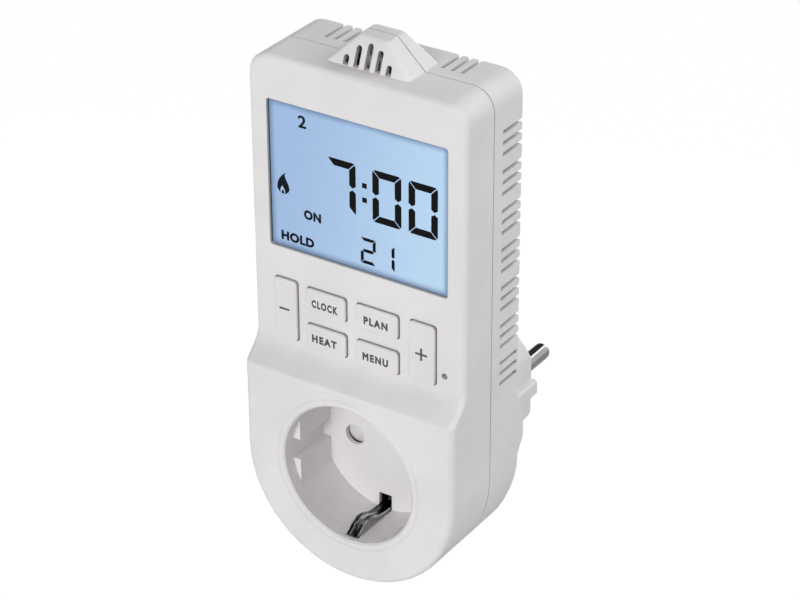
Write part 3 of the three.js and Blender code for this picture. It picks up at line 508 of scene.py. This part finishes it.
def skirt_section(angle):
    """Inner and outer edge of the skirt at one angle, each from the back to the plug's base."""
    section = []
    for radius in (PLUG_BASE_RADIUS - SKIRT_WALL, PLUG_BASE_RADIUS):
        x, z = radius * math.cos(angle), radius * math.sin(angle)
        section.append((x * MM, (back_surface(z) - SEATED) * MM, z * MM))
        section.append((x * MM, PLUG_BASE_FRONT * MM, z * MM))
    return section


def add_plug_root():
    """The skirt between the plug's round base and the part of the back that slopes away from it."""
    start, stop = SKIRT_ARC
    step = (stop - start) / (SKIRT_SECTIONS - 1)
    points = []
    for i in range(SKIRT_SECTIONS):
        points += skirt_section(math.radians(start + step * i))
    last = len(points) - 4
    faces = [(0, 1, 3, 2), (last + 2, last + 3, last + 1, last)]
    for a in range(0, last, 4):
        b = a + 4
        faces += [(a + 2, a + 3, b + 3, b + 2), (a, b, b + 1, a + 1)]
        faces += [(a, a + 2, b + 2, b), (a + 1, b + 1, b + 3, a + 3)]
    soften(add_piece("plug_root_skirt", points, faces, HOUSING, BODY_OF_CASE, "housing"))


# ------------------------------------------------------------------ flat marks on a front face
THICKNESS = 0.03 * MM
WORD_MIDDLE = 0.6 * THICKNESS  # where the middle of a word's thickness stands in front of the face
WORD_HALF = 0.4 * THICKNESS  # half of a word's thickness


def plates(outlines, front_y):
    """Points and faces of flat plates with outlines in X and Z (mm), standing a hair proud of front_y."""
    points, faces = [], []
    for outline in outlines:
        start, n = len(points), len(outline)
        area = sum(a[0] * b[1] - b[0] * a[1] for a, b in zip(outline, outline[1:] + outline[:1]))
        ordered = outline if area > 0 else outline[::-1]
        points += [(x * MM, front_y - THICKNESS, z * MM) for x, z in ordered]
        points += [(x * MM, front_y, z * MM) for x, z in ordered]
        faces.append(tuple(range(start, start + n)))
        faces.append(tuple(range(start + 2 * n - 1, start + n - 1, -1)))
        for i in range(start, start + n):
            after = i + 1 if i + 1 < start + n else start
            faces.append((i, n + i, n + after, after))
    return points, faces


def bar(x, z, half_width, half_height):
    """The outline of a rectangle round (x, z), counter-clockwise."""
    return [
        (x - half_width, z - half_height),
        (x + half_width, z - half_height),
        (x + half_width, z + half_height),
        (x - half_width, z + half_height),
    ]


def text_mesh(text, weight, spacing):
    """A word as a mesh in Blender's own font, with strokes made thicker by weight."""
    curve = bpy.data.curves.new("word", "FONT")
    curve.body = text
    curve.space_character = spacing
    curve.bevel_depth = weight
    curve.bevel_resolution = 1
    curve.resolution_u = 5
    source = bpy.data.objects.new("word", curve)
    bpy.context.scene.collection.objects.link(source)
    bpy.context.view_layer.update()
    mesh = bpy.data.meshes.new_from_object(source.evaluated_get(bpy.context.evaluated_depsgraph_get()))
    bpy.data.objects.remove(source)
    return mesh


def word(text, centre, size, front_y, weight, spacing):
    """Points and faces of a word that fills size = (width, height) in mm round centre = (x, z)."""
    flat = text_mesh(text, weight, spacing)
    middle, scale = [], []
    for axis in (0, 1):
        places = [v.co[axis] for v in flat.vertices]
        middle.append((max(places) + min(places)) / 2)
        scale.append(size[axis] / (max(places) - min(places)))
    points = []
    for v in flat.vertices:
        x, z = [centre[axis] + (v.co[axis] - middle[axis]) * scale[axis] for axis in (0, 1)]
        y = front_y - WORD_MIDDLE - WORD_HALF * v.co.z / weight
        points.append((x * MM, y, z * MM))
    faces = [tuple(p.vertices) for p in flat.polygons]
    bpy.data.meshes.remove(flat)
    return points, faces


# ------------------------------------------------------------------ display content
LIT = {"0": "abcdef", "1": "bc", "2": "abged", "7": "abc"}
BIG_DIGIT = dict(bottom=72.1, height=14.25, width=8.4, stroke=1.9, slit=0.24, corner=1.0)
SMALL_DIGIT = dict(bottom=59.7, height=7.2, width=4.45, stroke=0.88, slit=0.16, corner=0.45)
DIGITS = (  # name, digit, left edge, form, all in mm
    ("hour_digit", "7", -9.0, BIG_DIGIT),
    ("ten_minutes_digit", "0", 4.3, BIG_DIGIT),
    ("minutes_digit", "0", 14.8, BIG_DIGIT),
    ("setting_tens_digit", "2", 0.65, SMALL_DIGIT),
    ("setting_ones_digit", "1", 6.2, SMALL_DIGIT),
)
DISPLAY_WORDS = (  # name, text, centre and size in mm, weight of the strokes
    ("day_number", "2", (-16.25, 93.65), (2.4, 3.4), 0.025),
    ("on_sign", "ON", (-13.75, 68.3), (5.2, 2.65), 0.055),
    ("hold_sign", "HOLD", (-18.4, 60.6), (10.0, 2.65), 0.055),
)
DISPLAY_SPACING = 1.1
COLON = dict(x=1.96, heights=(81.2, 77.25), half=0.68)

# Closed outlines as curves: each row is a point, the handle it leaves along and the next one's handle,
# on a symbol 1 wide and 1 high that stands on its middle.
FLAME_BODY = (
    ((0.21, 1.0), (-0.1, 0.8), (0.52, 0.55)),
    ((0.5, 0.26), (0.49, 0.1), (0.22, 0.0)),
    ((0.0, 0.0), (-0.25, 0.0), (-0.5, 0.12)),
    ((-0.5, 0.3), (-0.5, 0.56), (-0.15, 0.86)),
)
FLAME_HEART = (
    ((-0.08, 0.38), (0.02, 0.27), (0.16, 0.2)),
    ((0.14, 0.08), (0.13, 0.04), (0.09, 0.03)),
    ((0.07, 0.04), (0.05, 0.12), (0.0, 0.17)),
    ((-0.05, 0.2), (-0.1, 0.16), (-0.14, 0.1)),
    ((-0.14, 0.04), (-0.18, 0.03), (-0.22, 0.05)),
    ((-0.24, 0.1), (-0.27, 0.22), (-0.14, 0.29)),
)
FLAME_FOOT = (-22.43, 72.3)  # mm, X and Z of the point it stands on
FLAME_SIZE = (3.7, 6.0)  # mm


def arc(x, z, radius, start, stop, steps=4):
    angles = [math.radians(start + (stop - start) * i / steps) for i in range(steps + 1)]
    return [(x + radius * math.cos(a), z + radius * math.sin(a)) for a in angles]


def digit_outlines(lit, left, bottom, width, height, stroke, slit, corner):
    """Seven-segment outlines with mitred joints, pointed middle ends and rounded outer corners."""
    right, top, middle = left + width, bottom + height, bottom + height / 2
    turn = math.degrees(slit / 2 / corner)
    taper = 0.36 * stroke
    step = 0.7 * slit
    post = arc(left + corner, top - corner, corner, 180, 135 + turn) + [
        (left + stroke, top - stroke - step),
        (left + stroke, middle + taper + slit),
        (left + stroke / 2, middle + slit),
        (left, middle + taper + slit),
    ]
    rail = arc(left + corner, top - corner, corner, 135 - turn, 90)
    rail += arc(right - corner, top - corner, corner, 90, 45 + turn)
    rail += [(right - stroke - step, top - stroke), (left + stroke + step, top - stroke)]
    half = [
        (left + stroke / 2 + slit, middle),
        (left + stroke + step, middle + stroke / 2),
        (right - stroke - step, middle + stroke / 2),
        (right - stroke / 2 - slit, middle),
    ]

    def mirrored(points, across=False, over=False):
        return [(left + right - x if across else x, 2 * middle - z if over else z) for x, z in points]

    shapes = {
        "a": rail,
        "b": mirrored(post, across=True),
        "c": mirrored(post, across=True, over=True),
        "d": mirrored(rail, over=True),
        "e": mirrored(post, over=True),
        "f": post,
        "g": half + mirrored(half, over=True)[-2:0:-1],
    }
    return [shapes[key] for key in lit]


def flame_outline(rows, points_per_curve=6):
    outline = []
    for (start, leaving, arriving), (end, _, _) in zip(rows, rows[1:] + rows[:1]):
        handles = [Vector(point) for point in (start, leaving, arriving, end)]
        outline += interpolate_bezier(*handles, points_per_curve)[:-1]
    return [(FLAME_FOOT[0] + p.x * FLAME_SIZE[0], FLAME_FOOT[1] + p.y * FLAME_SIZE[1]) for p in outline]


def add_display_content():
    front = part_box("display_window")[0].y

    def show(name, mesh, shader):
        add_piece(name, *mesh, shader, BODY_OF_CASE, "lcd")

    for name, digit, left, form in DIGITS:
        show(name, plates(digit_outlines(LIT[digit], left, **form), front), SEGMENTS)
    dots = [bar(COLON["x"], z, COLON["half"], COLON["half"]) for z in COLON["heights"]]
    show("colon_dots", plates(dots, front), SEGMENTS)
    show("flame_symbol", plates([flame_outline(FLAME_BODY)], front), SYMBOLS)
    show("flame_heart", plates([flame_outline(FLAME_HEART)], front - THICKNESS), PALE_INK)
    for name, text, centre, size, weight in DISPLAY_WORDS:
        show(name, word(text, centre, size, front, weight, DISPLAY_SPACING), SYMBOLS)


# ------------------------------------------------------------------ key legends
KEY_WORDS = (  # key, word, width of the word in mm, how far its middle is from the key's
    ("clock", "CLOCK", 8.0, (-0.2, -0.6)),
    ("program", "PLAN", 7.2, (-0.2, -0.5)),
    ("boost", "HEAT", 7.6, (-0.5, -0.3)),
    ("mode", "MENU", 7.7, (-0.4, -0.6)),
)
LETTER_HEIGHT = 2.25  # mm
LEGEND_WEIGHT = 0.055
LEGEND_SPACING = 1.3
SIGN_STROKE = 0.28  # mm, half the width of a sign's bars
MINUS_HALF = 1.55  # mm, half the length of the minus sign's bar
PLUS_HALF = 1.75  # mm, half the length of the plus sign's bars


def on_key(key, shift):
    """The middle of a key's front in mm, shifted in X and Z."""
    low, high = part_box(key + "_key")
    middle = (low + high) / 2 / MM
    return middle.x + shift[0], middle.z + shift[1]


def add_legend(name, key, mesh):
    add_piece(name, *mesh, LEGENDS, key + "_button", "keycap")


def add_legends():
    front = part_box("minus_key")[0].y
    for key, text, width, shift in KEY_WORDS:
        size = (width, LETTER_HEIGHT)
        mesh = word(text, on_key(key, shift), size, front, LEGEND_WEIGHT, LEGEND_SPACING)
        add_legend(key + "_key_legend", key, mesh)
    x, z = on_key("minus", (-0.35, 0.1))
    add_legend("minus_legend", "minus", plates([bar(x, z, MINUS_HALF, SIGN_STROKE)], front))
    x, z = on_key("plus", (-0.1, -0.3))
    cross = [bar(x, z, PLUS_HALF, SIGN_STROKE)]
    for side in (-1, 1):
        middle = z + side * (PLUS_HALF + SIGN_STROKE) / 2
        cross.append(bar(x, middle, SIGN_STROKE, (PLUS_HALF - SIGN_STROKE) / 2))
    add_legend("plus_legend", "plus", plates(cross, front))


# ------------------------------------------------------------------ floor
FLOOR_DROP = 0.6  # metres from the part's lowest point, as it hangs on a wall socket
FLOOR_HALF = 8.0  # metres
WHITE = 1.04  # strength at which the floor looks white to the camera
SHOWN_AS_WHITE = 0.94  # the rest shows the floor's own shading
GREY_IN_METAL = 0.42


def pale_floor():
    """A pale floor that the camera sees as almost white, and that metal mirrors as white and grey."""
    s = Shader("pale_floor")
    s.set(Base_Color=s.blend(s.noise(3), linear(238, 238, 238), linear(243, 243, 243)), Roughness=0.8)
    rays = s.node("ShaderNodeLightPath").outputs
    white = s.node("ShaderNodeEmission")
    white.inputs["Strength"].default_value = WHITE
    mirrored = s.node("ShaderNodeEmission")
    x, _, _ = s.split(s.place)
    s.link(s.span(x, -1.1, -0.8, 1.0, GREY_IN_METAL), mirrored.inputs["Strength"])
    for_camera = s.math("MULTIPLY", rays["Is Camera Ray"], SHOWN_AS_WHITE)
    seen = s.layer(for_camera, s.principled.outputs[0], white.outputs[0])
    s.link(s.layer(rays["Is Glossy Ray"], seen, mirrored.outputs[0]), s.output.inputs["Surface"])
    return s


def add_floor():
    z = CAD_BOX[0][2] - FLOOR_DROP
    corners = [(x, y, z) for x, y in bar(0, 0, FLOOR_HALF, FLOOR_HALF)]
    mesh = bpy.data.meshes.new("floor")
    mesh.from_pydata(corners, [], [(0, 1, 2, 3)])
    mesh.materials.append(pale_floor().material)
    floor = bpy.data.objects.new("floor", mesh)
    bpy.context.scene.collection.objects.link(floor)


# ------------------------------------------------------------------ world and lamps
AMBIENT = 0.3  # strength of the world's light
MIRRORED_DARK, MIRRORED_BRIGHT = 0.05, 2.2  # strengths that metal mirrors
LAMPS = (  # name, direction from the aim, size in metres, power in watts, whether metal mirrors it
    ("front_soft_box", (0.05, -1.0, 0.28), 0.7, 12.3, True),
    ("side_soft_box", (1.0, 0.65, 0.95), 0.8, 10.6, True),
    ("back_soft_box", (-0.4, 1.0, 0.1), 0.9, 8.0, False),
)
LAMP_DISTANCE = 1.4  # metres


def add_world():
    """White behind the part, a lower even level for its light, and bright and dark zones in reflections."""
    world = bpy.data.worlds.new("studio")
    world.use_nodes = True
    bpy.context.scene.world = world
    w = Nodes(world.node_tree)
    rays = w.node("ShaderNodeLightPath").outputs
    x, y, _ = w.split(w.node("ShaderNodeTexCoord").outputs["Generated"])
    right_zone = w.span(x, 0.02, 0.12, MIRRORED_DARK, MIRRORED_BRIGHT)
    right_zone = w.math("MULTIPLY", right_zone, w.span(x, 0.26, 0.36, 1.0, 0.36))
    rear_zone = w.span(y, 0.9, 0.95, 0.0, MIRRORED_BRIGHT)
    reflected = w.math("MAXIMUM", right_zone, rear_zone)
    strength = w.level(rays["Is Glossy Ray"], AMBIENT, reflected)
    strength = w.level(rays["Is Camera Ray"], strength, 1.0)
    background = w.tree.nodes["Background"]
    background.inputs["Color"].default_value = (1, 1, 1, 1)
    w.link(strength, background.inputs["Strength"])


def add_lamp(name, toward, size, power, mirrored):
    """A square soft box that lights the part from the direction toward."""
    data = bpy.data.lights.new(name, "AREA")
    data.shape = "SQUARE"
    data.size = size
    data.energy = power
    lamp = bpy.data.objects.new(name, data)
    bpy.context.scene.collection.objects.link(lamp)
    direction = Vector(toward).normalized()
    lamp.location = AIM + direction * LAMP_DISTANCE
    lamp.rotation_euler = (-direction).to_track_quat("-Z", "Y").to_euler()
    lamp.visible_glossy = mirrored


# ------------------------------------------------------------------ the scene
add_camera()
dress_nodes()
add_plug_root()
add_display_content()
add_legends()
add_floor()
add_world()
for lamp in LAMPS:
    add_lamp(*lamp)

bpy.context.scene.view_settings.view_transform = "Standard"
